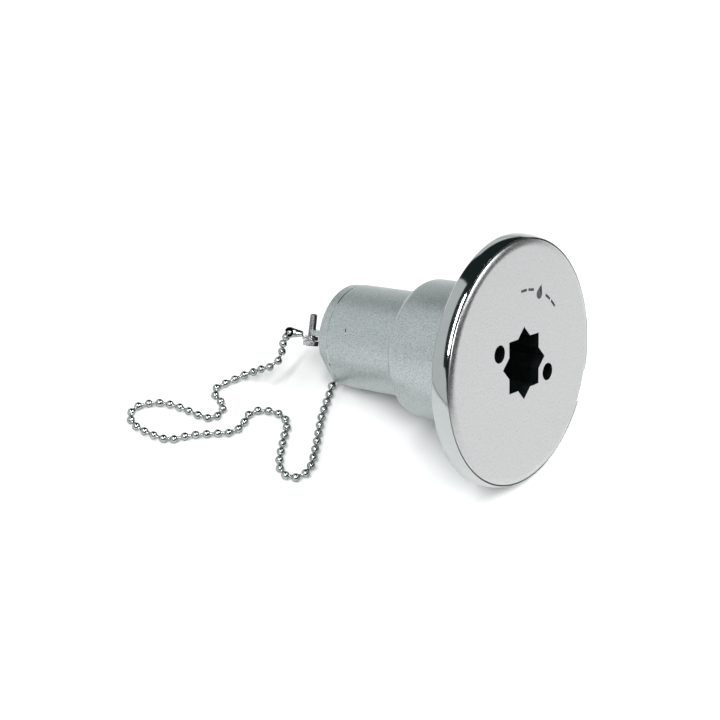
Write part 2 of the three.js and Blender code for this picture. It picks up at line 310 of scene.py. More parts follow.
def cut(obj, cutters, slot=0, operation="DIFFERENCE"):
    """Cuts each mesh out of an object, or joins it on. The new surface has one of its materials."""
    for mesh in cutters:
        tool = object_from("cutter", mesh, matrix=obj.matrix_world)
        for material in obj.data.materials:
            tool.data.materials.append(material)
        for face in tool.data.polygons:
            face.material_index = slot
        modifier = obj.modifiers.new("cut", "BOOLEAN")
        modifier.object = tool
        modifier.operation = operation
        modifier.solver = "EXACT"
        apply_modifiers(obj)
        bpy.data.objects.remove(tool)


def finish_edges(obj, width, sharp=math.radians(35)):
    """Rounds the sharp edges, and shades the surface smooth between the ones that stay sharp."""
    if width:
        bevel = obj.modifiers.new("bevel", "BEVEL")
        bevel.width = width * MM
        bevel.segments = 2
        bevel.limit_method = "ANGLE"
        bevel.angle_limit = sharp
        bevel.harden_normals = False
    apply_modifiers(obj)
    mesh = bmesh.new()
    mesh.from_mesh(obj.data)
    for face in mesh.faces:
        face.smooth = True
    for edge in mesh.edges:
        edge.smooth = edge.calc_face_angle(0) < sharp
    mesh.to_mesh(obj.data)
    mesh.free()
    normals = obj.modifiers.new("normals", "WEIGHTED_NORMAL")
    normals.keep_sharp = True
    normals.weight = 80
    apply_modifiers(obj)


def settle(obj, body, node):
    """Puts a piece's mesh in the row frame, and makes it ride in place of its CAD node."""
    obj.data.transform(obj.matrix_world)
    obj.matrix_world = Matrix.Identity(4)
    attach(obj, body)
    if node:
        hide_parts(node)


def add_part(name, mesh, material, body, node, matrix=AXIS_FRAME, bevel=0.08):
    """One piece of a single material, that stands for one CAD node or for none."""
    part = object_from(name, mesh, material, matrix)
    finish_edges(part, bevel)
    settle(part, body, node)


# ---- material helpers ------------------------------------------------------------------------
class Nodes:
    """A new node material, with short calls to add nodes and links."""

    def __init__(self, name):
        self.material = bpy.data.materials.new(name)
        self.material.use_nodes = True
        self.tree = self.material.node_tree
        self.shader = self.tree.nodes["Principled BSDF"]
        row = self.add("ShaderNodeTexCoord").outputs["Object"]
        self.place = self.add("ShaderNodeMapping", {
            "Vector": row, "Location": FACE_CENTRE, "Rotation": AXIS_FRAME.to_euler(),
        }, vector_type="TEXTURE").outputs["Vector"]

    def add(self, kind, inputs=None, **settings):
        node = self.tree.nodes.new(kind)
        for name, value in settings.items():
            setattr(node, name, value)
        for key, value in (inputs or {}).items():
            if isinstance(value, bpy.types.NodeSocket):
                self.tree.links.new(value, node.inputs[key])
            else:
                node.inputs[key].default_value = value
        return node

    def noise(self, scale, detail=3):
        node = self.add("ShaderNodeTexNoise", {
            "Vector": self.place, "Scale": scale, "Detail": detail, "Roughness": 0.6,
        })
        return node.outputs["Fac"]

    def spread(self, value, low, high, start=0.3, end=0.7):
        """Maps a 0 to 1 value onto another range, between two clamps."""
        node = self.add("ShaderNodeMapRange", {
            "Value": value, "From Min": start, "From Max": end, "To Min": low, "To Max": high,
        })
        return node.outputs["Result"]

    def math(self, operation, a, b=0.0):
        return self.add("ShaderNodeMath", {0: a, 1: b}, operation=operation).outputs[0]

    def shade(self, factor, dark, light):
        """A colour between a dark and a light one."""
        ramp = self.add("ShaderNodeValToRGB", {"Fac": factor})
        ramp.color_ramp.elements[0].color = (*dark, 1)
        ramp.color_ramp.elements[1].color = (*light, 1)
        return ramp.outputs["Color"]

    def turning_rings(self, spacing):
        """A wave along the filler's axis, as a lathe leaves it, with its spacing in millimetres."""
        height = self.add("ShaderNodeSeparateXYZ", {"Vector": self.place}).outputs["Z"]
        return self.math("SINE", self.math("MULTIPLY", height, 2 * math.pi / (spacing * MM)))

    def feed(self, **sockets):
        """Sets or links the shader's inputs."""
        names = {"color": "Base Color", "roughness": "Roughness", "metallic": "Metallic",
                 "edge": "Specular Tint", "normal": "Normal"}
        for key, value in sockets.items():
            socket = self.shader.inputs[names[key]]
            if isinstance(value, bpy.types.NodeSocket):
                self.tree.links.new(value, socket)
            else:
                socket.default_value = value

    def bump(self, height, strength, distance):
        node = self.add("ShaderNodeBump", {
            "Height": height, "Strength": strength, "Distance": distance,
        })
        return node.outputs["Normal"]


def polished_steel():
    """Mirror-polished flange: almost clean, with faint polishing swirls."""
    m = Nodes("polished_steel")
    swirl = m.noise(260, 4)
    m.feed(color=m.shade(swirl, (0.36, 0.38, 0.375), (0.40, 0.42, 0.415)),
           roughness=m.spread(m.noise(900, 3), 0.05, 0.10), metallic=1.0,
           normal=m.bump(m.noise(4200, 2), 0.02, 0.00002))
    return m.material


def blasted_steel():
    """Bead-blasted neck and spigot: fine grainy satin with faint rings from turning."""
    m = Nodes("blasted_steel")
    grain = m.noise(2400, 2)
    relief = m.math("ADD", grain, m.math("MULTIPLY", m.turning_rings(0.55), 0.05))
    m.feed(color=m.shade(m.spread(grain, 0, 1), (0.25, 0.28, 0.28), (0.49, 0.525, 0.525)),
           roughness=m.spread(grain, 0.30, 0.44), metallic=1.0,
           normal=m.bump(relief, 0.7, 0.0001))
    return m.material


def bore_steel():
    """Inside of the filler: duller, as cast and turned."""
    m = Nodes("bore_steel")
    stain = m.noise(140, 5)
    relief = m.math("ADD", m.noise(1900, 4), m.math("MULTIPLY", m.turning_rings(0.8), 0.15))
    m.feed(color=m.shade(m.spread(stain, 0, 1), (0.28, 0.28, 0.28), (0.48, 0.48, 0.48)),
           roughness=m.spread(stain, 0.62, 0.42), metallic=1.0,
           normal=m.bump(relief, 0.5, 0.00008))
    return m.material


def satin_face():
    """The cap's face: fine even satin, a little smoother than the neck."""
    m = Nodes("satin_face")
    fine = m.noise(1700, 2)
    m.feed(color=m.shade(m.spread(fine, 0, 1), (0.38, 0.38, 0.383), (0.47, 0.47, 0.473)),
           roughness=m.spread(fine, 0.26, 0.36), metallic=1.0,
           normal=m.bump(fine, 0.25, 0.00005))
    return m.material


def pocket_shade_steel():
    """Floor and walls of the key socket and pin holes: near black, painted shade for their depth,
    mottled with grime.
    """
    m = Nodes("pocket_shade_steel")
    grime_and_shade = m.noise(420, 5)
    m.feed(color=m.shade(m.spread(grime_and_shade, 0, 1), (0.006, 0.012, 0.012), (0.035, 0.045, 0.045)),
           roughness=m.spread(grime_and_shade, 0.5, 0.3), metallic=0.9,
           normal=m.bump(grime_and_shade, 0.3, 0.0001))
    return m.material


def engraved_steel():
    """Bottoms of the engraved signs, dark and mottled."""
    m = Nodes("engraved_steel")
    mottle = m.noise(1500, 4)
    m.feed(color=m.shade(m.spread(mottle, 0, 1), (0.03, 0.035, 0.035), (0.16, 0.165, 0.17)),
           roughness=0.55, metallic=0.7, normal=m.bump(mottle, 0.3, 0.00005))
    return m.material


def bright_steel():
    """Small screws, tabs and couplings."""
    m = Nodes("bright_steel")
    wear = m.noise(700, 4)
    m.feed(color=m.shade(m.spread(wear, 0, 1), (0.30, 0.31, 0.31), (0.48, 0.49, 0.49)),
           roughness=m.spread(wear, 0.26, 0.12), metallic=1.0, edge=(0.4, 0.42, 0.42, 1),
           normal=m.bump(m.noise(5200, 3), 0.15, 0.00003))
    return m.material


def chain_steel():
    """Polished balls and their links."""
    m = Nodes("chain_steel")
    wear = m.noise(520, 4)
    m.feed(color=m.shade(m.spread(wear, 0, 1), (0.28, 0.30, 0.295), (0.42, 0.44, 0.435)),
           roughness=m.spread(wear, 0.16, 0.06), metallic=1.0, edge=(0.3, 0.32, 0.32, 1),
           normal=m.bump(m.noise(3000, 3), 0.12, 0.00004))
    return m.material


def seal_rubber():
    m = Nodes("seal_rubber")
    dust = m.noise(800, 5)
    m.feed(color=m.shade(m.spread(dust, 0, 1), (0.012, 0.012, 0.013), (0.05, 0.05, 0.05)),
           roughness=m.spread(dust, 0.72, 0.5), metallic=0.0,
           normal=m.bump(m.noise(3000, 3), 0.2, 0.00005))
    return m.material


POLISHED = polished_steel()
BLASTED = blasted_steel()
BORE = bore_steel()
FACE = satin_face()
POCKET = pocket_shade_steel()
ENGRAVED = engraved_steel()
BRIGHT = bright_steel()
CHAIN = chain_steel()
RUBBER = seal_rubber()

# ---- the ball chain --------------------------------------------------------------------------
# The chain's route, as in the CAD: a drop from the anchor to the table, then loops on the table
# and the climb through the spigot to the cap. In metres, in the row frame.
DROP_ROUTE = [
    (-0.0164, 0.0513, 0.0192), (-0.0167, 0.0526, 0.0155), (-0.0171, 0.0529, 0.0118),
    (-0.0203, 0.0521, 0.0101), (-0.0236, 0.0536, 0.0085), (-0.0249, 0.0568, 0.0065),
    (-0.0259, 0.0598, 0.0042), (-0.0274, 0.0626, 0.0023), (-0.0307, 0.0645, 0.00175),
    (-0.0343, 0.0660, 0.0017), (-0.0362, 0.0668, 0.0017),
]
TABLE_ROUTE = [
    (-0.0372, 0.0672, 0.00165), (-0.0389, 0.0674, 0.00165), (-0.0415, 0.0659, 0.00165),
    (-0.0428, 0.0624, 0.00165), (-0.0447, 0.0594, 0.00165), (-0.0480, 0.0582, 0.00165),
    (-0.0514, 0.0590, 0.00165), (-0.0528, 0.0626, 0.00165), (-0.0541, 0.0730, 0.00165),
    (-0.0560, 0.0790, 0.00165), (-0.0605, 0.0840, 0.00165), (-0.0642, 0.0855, 0.00165),
    (-0.0676, 0.0840, 0.00165), (-0.0699, 0.0809, 0.00165), (-0.0702, 0.0729, 0.00165),
    (-0.0683, 0.0651, 0.00165), (-0.0625, 0.0603, 0.00165), (-0.0574, 0.0545, 0.00165),
    (-0.0524, 0.0488, 0.00165), (-0.0486, 0.0480, 0.00165), (-0.0412, 0.0493, 0.00165),
    (-0.0380, 0.0469, 0.00165), (-0.0358, 0.0405, 0.00165), (-0.0376, 0.0357, 0.00165),
    (-0.0448, 0.0318, 0.00165), (-0.0522, 0.0278, 0.00165), (-0.0557, 0.0254, 0.00165),
    (-0.0578, 0.0222, 0.00165), (-0.0576, 0.0185, 0.00165), (-0.0546, 0.0162, 0.00165),
    (-0.0507, 0.0159, 0.00165), (-0.0431, 0.0192, 0.00165), (-0.0358, 0.0230, 0.00165),
    (-0.0283, 0.0270, 0.00165), (-0.0204, 0.0302, 0.00165), (-0.0166, 0.0317, 0.00175),
    (-0.0130, 0.0330, 0.0023),
]
# The last stretch in the axis frame, in metres, from the spigot's mouth up to the cap's coupling.
BORE_ROUTE = [
    (-0.0086, -0.0120, -0.0784), (-0.0060, -0.0121, -0.0745), (-0.0030, -0.0134, -0.0670),
    (-0.0010, -0.0142, -0.0580), (0, -0.0143, -0.0500), (0, -0.0136, -0.0420),
    (0, -0.0119, -0.0368), (0, -0.0099, -0.0333),
]
CHAIN_PITCH = 0.003945
BALLS_IN_VIEW = 63
SEAM_TURN = 137  # degrees from one ball's seam to the next one's
LAST_LINK = 0.00175  # from the last free ball to the end of the route


def at_time(a, b, start, end, at):
    """The point on the line that is at a when the time is start, and at b when it is end."""
    return a * ((end - at) / (end - start)) + b * ((at - start) / (end - start))


def smooth_curve(route, steps=16):
    """A centripetal Catmull-Rom curve through the route's points."""
    points = [Vector(p) for p in route]
    points = [2 * points[0] - points[1], *points, 2 * points[-1] - points[-2]]
    curve = []
    for i in range(1, len(points) - 2):
        p = points[i - 1:i + 3]
        t = [0.0]
        for a, b in zip(p, p[1:]):
            t.append(t[-1] + (b - a).length ** 0.5)
        for k in range(steps):
            at = t[1] + (t[2] - t[1]) * k / steps
            a, b, c = (at_time(p[n], p[n + 1], t[n], t[n + 1], at) for n in range(3))
            d = at_time(a, b, t[0], t[2], at)
            e = at_time(b, c, t[1], t[3], at)
            curve.append(at_time(d, e, t[1], t[2], at))
    curve.append(points[-2])
    return curve


def length_of(points):
    return sum((b - a).length for a, b in zip(points, points[1:]))


def point_at(points, distance):
    for a, b in zip(points, points[1:]):
        step = (b - a).length
        if distance <= step:
            return a.lerp(b, distance / step)
        distance -= step
    return points[-1].copy()


def ball_mesh(radius, slices=22, stacks=12):
    """A pressed hollow ball: a seam down one side and a rolled hole where each link enters."""
    hole = 24  # degrees from the pole to the hole's lip
    rim = arc((0, 0), radius, hole - 90, 90 - hole, stacks)
    inner, depth = radius * 0.24, radius * 0.78
    mesh = lathe([(inner, -depth), *rim, (inner, depth)], slices, closed=True)
    seam = math.radians(180 / slices) * 1.1
    for vertex in mesh.verts:
        if abs(math.atan2(vertex.co.y, vertex.co.x)) < seam and vertex.co.xy.length > radius * 0.3:
            vertex.co.xy *= 0.965
    return mesh


def link_mesh(start, end, radius=0.55, slices=10):
    """The bar of a dumbbell link between two balls' centres, in metres, thicker at its ends."""
    gap = (end - start).length / MM
    mesh = lathe([(0, 0.6), (radius * 1.5, 0.75), (radius * 1.5, 1.25), (radius, 1.55),
                  (radius, gap - 1.55), (radius * 1.5, gap - 1.25), (radius * 1.5, gap - 0.75),
                  (0, gap - 0.6)], slices)
    mesh.transform(Matrix.Scale(MM, 4))
    turn = (end - start).to_track_quat("Z", "Y").to_matrix().to_4x4()
    return moved(mesh, Matrix.Translation(start) @ turn)


def ball_stations(drop, run):
    """Where the balls' centres are along the whole chain, in metres from the anchor's end."""
    whole = length_of(drop + run)
    stations = [CHAIN_PITCH * n for n in range(BALLS_IN_VIEW)]
    rest = whole - LAST_LINK - stations[-1]
    count = math.ceil(rest / CHAIN_PITCH)
    stations += [stations[-1] + rest * (n + 1) / count for n in range(count)]
    return stations


def chain_piece(name, centres, links):
    """One stretch of the chain: balls at their centres, links between pairs of centres."""
    meshes = []
    for n, (centre, tangent) in enumerate(centres):
        turn = tangent.to_track_quat("Z", "Y").to_matrix().to_4x4() @ turned_by(SEAM_TURN * n)
        ball = moved(ball_mesh(BALL_R), Matrix.Scale(MM, 4))
        meshes.append(moved(ball, Matrix.Translation(centre) @ turn))
    whole = joined(meshes + [link_mesh(start, end) for start, end in links])
    for face in whole.faces:
        face.smooth = True
    data = bpy.data.meshes.new(name)
    whole.to_mesh(data)
    whole.free()
    data.materials.append(CHAIN)
    obj = bpy.data.objects.new(name, data)
    bpy.context.scene.collection.objects.link(obj)
    return obj


def lug_turn():
    """Turns x to the lug's radius, y to the filler's axis and z along the anchor's screw."""
    c, s = polar(1, LUG_ANGLE)
    return Matrix(((c, s, 0), (0, 0, 1), (s, -c, 0))).transposed().to_4x4()


def lug_place():
    """The frame of the lug's hole in the axis frame, in millimetres."""
    return Matrix.Translation((*polar(LUG_HOLE_OUT, LUG_ANGLE), LUG_HOLE_Z)) @ lug_turn()


def in_metres(frame):
    scaled = frame.copy()
    scaled.translation *= MM
    return scaled


LUG_FRAME = AXIS_FRAME @ in_metres(lug_place())
LINK_FRAME = LUG_FRAME @ turned_by(LINK_SPLAY - 90)
LINK_Z = -1.15  # height of the anchor coupling's centre line in the link's frame
LINK_START = LUG_END_R + GAP + COUPLING_R
ANCHOR_END = LINK_FRAME @ (Vector((LINK_START + COUPLING_PITCH, 0, LINK_Z)) * MM)
CAP_LINK_BEAD = Vector((0, -8.7, -28.4))
CAP_LINK_END = CAP_LINK_BEAD - Vector((0, 0, COUPLING_PITCH))
CAP_END = AXIS_FRAME @ (CAP_LINK_END * MM)


def add_chain():
    drop = smooth_curve(DROP_ROUTE)
    run = smooth_curve([*TABLE_ROUTE, *(AXIS_FRAME @ Vector(p) for p in BORE_ROUTE)])
    whole = drop + run
    stations = ball_stations(drop, run)
    centres = [point_at(whole, s) for s in stations]
    ends = [ANCHOR_END, *centres, CAP_END]
    tangents = [(b - a).normalized() for a, b in zip(ends, ends[2:])]
    balls = list(zip(centres, tangents))
    links = list(zip(ends, ends[1:]))
    split = sum(s < length_of(drop) for s in stations)

    first = chain_piece("chain_drop_balls", balls[:split], links[:split + 1])
    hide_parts("chain_drop")
    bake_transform(first)

    second = chain_piece("chain_run_balls", balls[split:], links[split + 1:])
    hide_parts("chain_run")
    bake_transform(second)


add_chain()

# ---- the filler body -------------------------------------------------------------------------
POLISHED_SLOT, BLASTED_SLOT, BORE_SLOT, MARK_SLOT = 0, 1, 2, 3


def filler_outline():
    rim = arc((RIM_R - RIM_ARC_R, RIM_WIDEST), RIM_ARC_R, 0, 24.3, 16)
    return rounded([
        (BORE_R, SPIGOT_END, 0.35),
        (SPIGOT_TIP_R - 0.75, SPIGOT_END, 0.2),
        (SPIGOT_TIP_R, SPIGOT_TIP_Z, 0.2),
        (SPIGOT_TIP_R, GROOVE_START, 0.1),
        (SPIGOT_TIP_R - GROOVE_DEPTH, GROOVE_END, 0),
        (SPIGOT_R, GROOVE_END + 0.02, 0.05),
        (SPIGOT_R, NECK_END, 1.2),
        (NECK_R, NECK_END, 3),
        (NECK_R, NECK_MIDDLE, 0),
        (NECK_R - 0.3, -7.9, 0.3),
        (NECK_R + 0.9, RIM_BACK, 0.2),
        (34, RIM_BACK, 0),
        (RIM_R - 0.4, RIM_BACK, 0.15),
        *((radius, z, 0) for radius, z in rim),
        (RECESS_R + 0.1, -0.93, 0.05),
        (RECESS_R, -1.1, 0.05),
        (RECESS_R, RECESS_FLOOR, 0.25),
        (SEAL_SEAT_R, RECESS_FLOOR, 0.25),
        (SEAL_SEAT_R, SEAL_FLOOR, 0.25),
        (SOCKET_THREAD_ROOT + 0.5, SEAL_FLOOR, 0.2),
        (SOCKET_THREAD_ROOT, SEAL_FLOOR - 0.6, 0.2),
        (SOCKET_THREAD_ROOT, SOCKET_END, 0.4),
        (BORE_R, SOCKET_END - 5.3, 0.6),
    ], closed=True)


def filler_slot(point):
    """The material of a face of the turned body, by its place in the axis frame in metres."""
    radius, z = point.xy.length / MM, point.z / MM
    if radius > RECESS_R and z > RIM_BACK + 0.05:
        return POLISHED_SLOT
    if radius > BORE_R + 1 and GROOVE_START < z < GROOVE_END:
        return POLISHED_SLOT
    if radius < BORE_R + 0.05 or (z > SOCKET_END - 6 and radius < NECK_R - 0.9):
        return BORE_SLOT
    return BLASTED_SLOT


def lug_mesh():
    outline = [(16.6, -69), (18.7, -69)]
    outline += arc((LUG_HOLE_OUT, LUG_HOLE_Z), LUG_END_R, 0, -180, 24)
    outline.append((LUG_HOLE_OUT - LUG_END_R, -75.5))
    plate = prism(outline, -LUG_THICKNESS / 2, LUG_THICKNESS / 2)
    return moved(plate, lug_turn())


def rod(radius, low, high, segments=48):
    """A round bar along z between two heights."""
    return lathe([(0, low), (radius, low), (radius, high), (0, high)], segments)


def spigot_bevel():
    """The ground bevel on one side of the spigot's end."""
    chord = SPIGOT_R * math.cos(math.radians(BEVEL_HALF_WIDTH))
    c, s = polar(1, BEVEL_ANGLE)
    out = Vector((c, s, -1)).normalized()
    along = Vector((-s, c, 0))
    third = out.cross(along)
    turn = Matrix((out, along, third)).transposed().to_4x4()
    edge = Matrix.Translation((c * chord, s * chord, SPIGOT_END))
    return moved(block((0, -20, -12), (12, 20, 12)), edge @ turn)


def fixing_holes():
    """Three countersunk holes for deck screws, in the recess under the cap."""
    cutters = []
    for angle in (90, 210, 330):
        place = Matrix.Translation((*polar(FIXING_CIRCLE_R, angle), 0))
        outline = [
            (0, -9), (FIXING_R, -9), (FIXING_R, RECESS_FLOOR - 2.2),
            (FIXING_HEAD_R, RECESS_FLOOR + 0.05), (FIXING_HEAD_R, -3), (0, -3),
        ]
        cutters.append(moved(lathe(outline, 48), place))
    return cutters


def punch_tick():
    """A short punched mark on the side of the spigot."""
    place = turned_by(TICK_ANGLE) @ Matrix.Translation((SPIGOT_R, 0, TICK_Z))
    return moved(block((-0.3, -0.55, -0.2), (1, 0.55, 0.2)), place @ turned_by(15, "X"))


def thread(radius_in, radius_out, low, high, pitch=THREAD_PITCH, segments=72):
    """A helical ridge between two radii, tapering to nothing at both ends."""
    mesh = bmesh.new()
    turns = (high - low) / pitch
    steps = round(turns * segments)
    base, crest = 0.42 * pitch, 0.09 * pitch
    rings = []
    for i in range(steps + 1):
        z = low + (high - low) * i / steps
        fade = min(1, 6 * i / segments, 6 * (steps - i) / segments)
        tip = radius_in + (radius_out - radius_in) * max(fade, 0.02)
        c, s = polar(1, 360 * i / segments)
        ring = []
        for radius, dz in ((radius_in, -base), (tip, -crest), (tip, crest), (radius_in, base)):
            ring.append(mesh.verts.new((c * radius, s * radius, z + dz)))
        rings.append(ring)
    for a, b in zip(rings, rings[1:]):
        for k in range(4):
            n = (k + 1) % 4
            mesh.faces.new((a[k], a[n], b[n], b[k]))
    mesh.faces.new(rings[0])
    mesh.faces.new(rings[-1])
    bmesh.ops.recalc_face_normals(mesh, faces=mesh.faces)
    return mesh


def add_filler_body():
    body = object_from("filler_shell", lathe(filler_outline(), closed=True))
    for material in (POLISHED, BLASTED, BORE, POCKET):
        body.data.materials.append(material)
    for face in body.data.polygons:
        face.material_index = filler_slot(face.center)
    cut(body, [lug_mesh()], BLASTED_SLOT, "UNION")
    hole = moved(rod(LUG_HOLE_R, -3, 3), lug_place())
    cut(body, [hole, spigot_bevel(), *fixing_holes()], BLASTED_SLOT)
    # The punched tick takes the near-black pocket material: painted shade in the dent.
    cut(body, [punch_tick()], MARK_SLOT)
    finish_edges(body, 0.12)
    settle(body, "filler", "filler_body")


add_filler_body()


# ---- the cap ---------------------------------------------------------------------------------
FACE_SLOT, POCKET_SLOT, ENGRAVED_SLOT = 0, 1, 2


def cap_outline():
    body = rounded([
        (0, PLUG_END, 0),
        (PLUG_THREAD_ROOT - 0.9, PLUG_END, 0.2),
        (PLUG_THREAD_ROOT, PLUG_END + 0.9, 0.2),
        (PLUG_THREAD_ROOT, -7.2, 0.2),
        (PLUG_R, -6.6, 0.2),
        (PLUG_R, -CAP_PLATE, 0.5),
        (CAP_R - 0.3, -CAP_PLATE, 0.1),
        (CAP_R, -CAP_PLATE + 0.3, 0.1),
        (CAP_R, -1, 0.1),
        (CAP_R - 0.13, -0.79, 0),
    ])
    shoulder = arc((CAP_FLAT_R, -CAP_SHOULDER_R), CAP_SHOULDER_R, 57, 90, 14)
    return body[:-1] + shoulder + [(34, 0), (0, 0)]


def star_socket():
    half = KEY_SQUARE / 2
    corner = half / math.cos(math.radians(22.5))
    outer = half * math.sqrt(2)
    points = []
    for k in range(8):
        points.append(polar(outer, 45 * k + 22.5))
        points.append(polar(corner, 45 * k + 45))
    return prism(points, -KEY_DEPTH, 1)


def drop_outline(steps=10):
    """An engraved drop, pointed at the top and round at the bottom."""
    def bezier(a, b, c, d):
        points = []
        for i in range(steps):
            t = i / steps
            u = 1 - t
            weights = (u ** 3, 3 * u * u * t, 3 * u * t * t, t ** 3)
            points.append(tuple(sum(w * p[n] for w, p in zip(weights, (a, b, c, d)))
                                for n in range(2)))
        return points

    return (bezier((0, 2.6), (0.5, 1.3), (1.7, 0.3), (1.7, -0.9))
            + bezier((1.7, -0.9), (1.7, -3.1), (-1.7, -3.1), (-1.7, -0.9))
            + bezier((-1.7, -0.9), (-1.7, 0.3), (-0.5, 1.3), (0, 2.6)))


def engraved_signs():
    drop = [(x, y + MARK_R) for x, y in drop_outline()]
    signs = [prism(drop, -MARK_DEPTH, 1)]
    for angle in (-23, -13, 13, 23):
        dash = block((-1.7, MARK_R - 0.45, -MARK_DEPTH), (1.7, MARK_R + 0.45, 1))
        signs.append(moved(dash, turned_by(angle)))
    return signs


def mark_pockets(cap):
    """Gives the key socket, the pin holes and the engraved signs their own materials."""
    for face in cap.data.polygons:
        radius, z = face.center.xy.length / MM, face.center.z / MM
        # Key socket and pin hole faces take the near-black pocket material: painted shade.
        if -KEY_DEPTH - 0.1 < z < -0.5 and radius < PLUG_THREAD_ROOT - 0.2:
            face.material_index = POCKET_SLOT
        if -MARK_DEPTH - 0.01 < z < -0.02 and MARK_R - 4 < radius < MARK_R + 4:
            face.material_index = ENGRAVED_SLOT


def add_cap():
    turn = turned_by(CAP_TURN)
    cap = object_from("cap_shell", lathe(cap_outline()))
    for material in (FACE, POCKET, ENGRAVED):
        cap.data.materials.append(material)
    cutters = [moved(sign, turn) for sign in engraved_signs()]
    for x in (PIN_CIRCLE_R, -PIN_CIRCLE_R):
        hole = rod(PIN_HOLE_R, -PIN_DEPTH, 1, 64)
        cutters.append(moved(hole, turn @ Matrix.Translation((x, 0, 0))))
    cutters.append(moved(star_socket(), turn))
    cutters.append(rod(SWIVEL_HOLE_R, PLUG_END - 1, SWIVEL_HOLE_TOP))
    cut(cap, cutters, FACE_SLOT)
    mark_pockets(cap)
    finish_edges(cap, 0.15)
    settle(cap, "cap", "cap")


def add_threads():
    """The plug's and the socket's thread, each a piece of its own."""
    plug = thread(PLUG_THREAD_ROOT - 0.05, PLUG_THREAD_CREST, PLUG_END + 2, PLUG_THREAD_TOP)
    socket = thread(SOCKET_THREAD_ROOT + 0.05, SOCKET_THREAD_CREST, SOCKET_END + 1.5,
                    SOCKET_THREAD_TOP)
    add_part("cap_thread", plug, BORE, "cap", None, bevel=0)
    add_part("socket_thread", socket, BORE, "filler", None, bevel=0)


add_cap()
add_threads()


# ---- small parts -----------------------------------------------------------------------------
def ring_mesh(radius, section, z):
    outline = arc((radius, z), section, 0, 360, 32)[:-1]
    return lathe(outline, SEGMENTS, closed=True)


def washer(inner, outer, low, high, segments=64):
    outline = rounded([(inner, low, 0.08), (outer, low, 0.15), (outer, high, 0.15),
                       (inner, high, 0.08)], closed=True)
    return lathe(outline, segments, closed=True)


def hexagon(flats):
    return [polar(flats / 2 / math.cos(math.radians(30)), 60 * k) for k in range(6)]


add_part("cap_seal", ring_mesh(SEAL_R, SEAL_SECTION_R, SEAL_Z), RUBBER, "cap", "cap_o_ring",
         bevel=0)

# The swivel under the cap: screw, washer and bent tab.
TAB_TOP = PLUG_END - GAP
TAB_LOW = TAB_TOP - SHEET
TAB_EYE_HOLE = 2.35
TAB_EYE_R = 4.6
TAB_HALF_WIDTH = 2.4
LEG_Y = -8.4
WASHER_R = 4.4
WASHER_TOP = TAB_LOW - GAP
WASHER_LOW = WASHER_TOP - 0.8
SWIVEL_SHANK_R = 1.9
SWIVEL_HEAD_R = 3.6
SWIVEL_HEAD_HEIGHT = 2.4
SWIVEL_HEAD = WASHER_LOW - GAP  # the side of the head that bears on the washer


def swivel_screw_mesh():
    shank = rod(SWIVEL_SHANK_R, SWIVEL_HEAD - 0.1, SWIVEL_HOLE_TOP - GAP)
    low, chamfer = SWIVEL_HEAD - SWIVEL_HEAD_HEIGHT, 0.7
    head = lathe(rounded([
        (0, low, 0), (SWIVEL_HEAD_R - chamfer, low, 0.3), (SWIVEL_HEAD_R, low + chamfer, 0.3),
        (SWIVEL_HEAD_R, SWIVEL_HEAD, 0.15), (0, SWIVEL_HEAD, 0),
    ]), 64)
    return joined([shank, head])


def swivel_tab_mesh():
    """An eye, a strip to one side, and a leg that bends down and narrows to a neck with a bead."""
    half = TAB_HALF_WIDTH
    eye = washer(TAB_EYE_HOLE, TAB_EYE_R, TAB_LOW, TAB_TOP)
    strip = block((-half, LEG_Y - SHEET, TAB_LOW), (half, -4.2, TAB_TOP))
    side = [(half, TAB_TOP), (half, -24.5), (0.35, -26.4), (0.35, -28)]
    leg = prism([(-x, z) for x, z in side] + side[::-1], LEG_Y - SHEET, LEG_Y)
    upright = Matrix(((1, 0, 0, 0), (0, 0, 1, 0), (0, 1, 0, 0), (0, 0, 0, 1)))
    bead = moved(ball_mesh(1), Matrix.Translation(CAP_LINK_BEAD))
    leg.transform(upright)
    bmesh.ops.recalc_face_normals(leg, faces=leg.faces)
    return joined([eye, strip, leg, bead])


def add_swivel():
    add_part("swivel_screw_part", swivel_screw_mesh(), BRIGHT, "cap", "swivel_screw")
    ring = washer(TAB_EYE_HOLE, WASHER_R, WASHER_LOW, WASHER_TOP)
    add_part("swivel_washer_part", ring, BRIGHT, "swivel", "swivel_washer",
             bevel=0)
    add_part("swivel_tab_part", swivel_tab_mesh(), BRIGHT, "swivel", "swivel_tab")


add_swivel()


# Chain couplings: a pressed shell that widens to the chain's ball, with a window over it.
COUPLING_WALL = 0.22
COUPLING_NECK_R = 1.05
WINDOW_R = 1.7
SLOT_HALF_WIDTH = 0.4


def coupling_profile(shrink):
    """Radius along the coupling's length: a cone from the tab's end to the ball's lobe."""
    lobe = arc((COUPLING_PITCH, 0), COUPLING_R - shrink, 112, 24, 16)
    return [(y, x) for x, y in [(-COUPLING_R, COUPLING_NECK_R - shrink), *lobe]]


def coupling_mesh():
    """Along x, with the tab's bead at 0 and the chain's ball at COUPLING_PITCH."""
    outline = coupling_profile(0) + coupling_profile(COUPLING_WALL)[::-1]
    return moved(lathe(outline, 64, closed=True), turned_by(90, "Y"))


def coupling_openings(leaving):
    """A round window over the chain's ball, a slot to where the chain leaves, and a notch."""
    across = Vector((0, 0, 1)).cross(leaving).normalized()
    turn = Matrix((leaving, across, leaving.cross(across))).transposed().to_4x4()
    lobe = Matrix.Translation((COUPLING_PITCH, 0, 0))
    return [
        moved(rod(WINDOW_R, 0.4, 3, 40), lobe),
        moved(block((0, -SLOT_HALF_WIDTH, -0.7), (3, SLOT_HALF_WIDTH, 3)), lobe @ turn),
        block((-0.15, -0.1, 0.2), (0.15, 1.1, 3)),
    ]


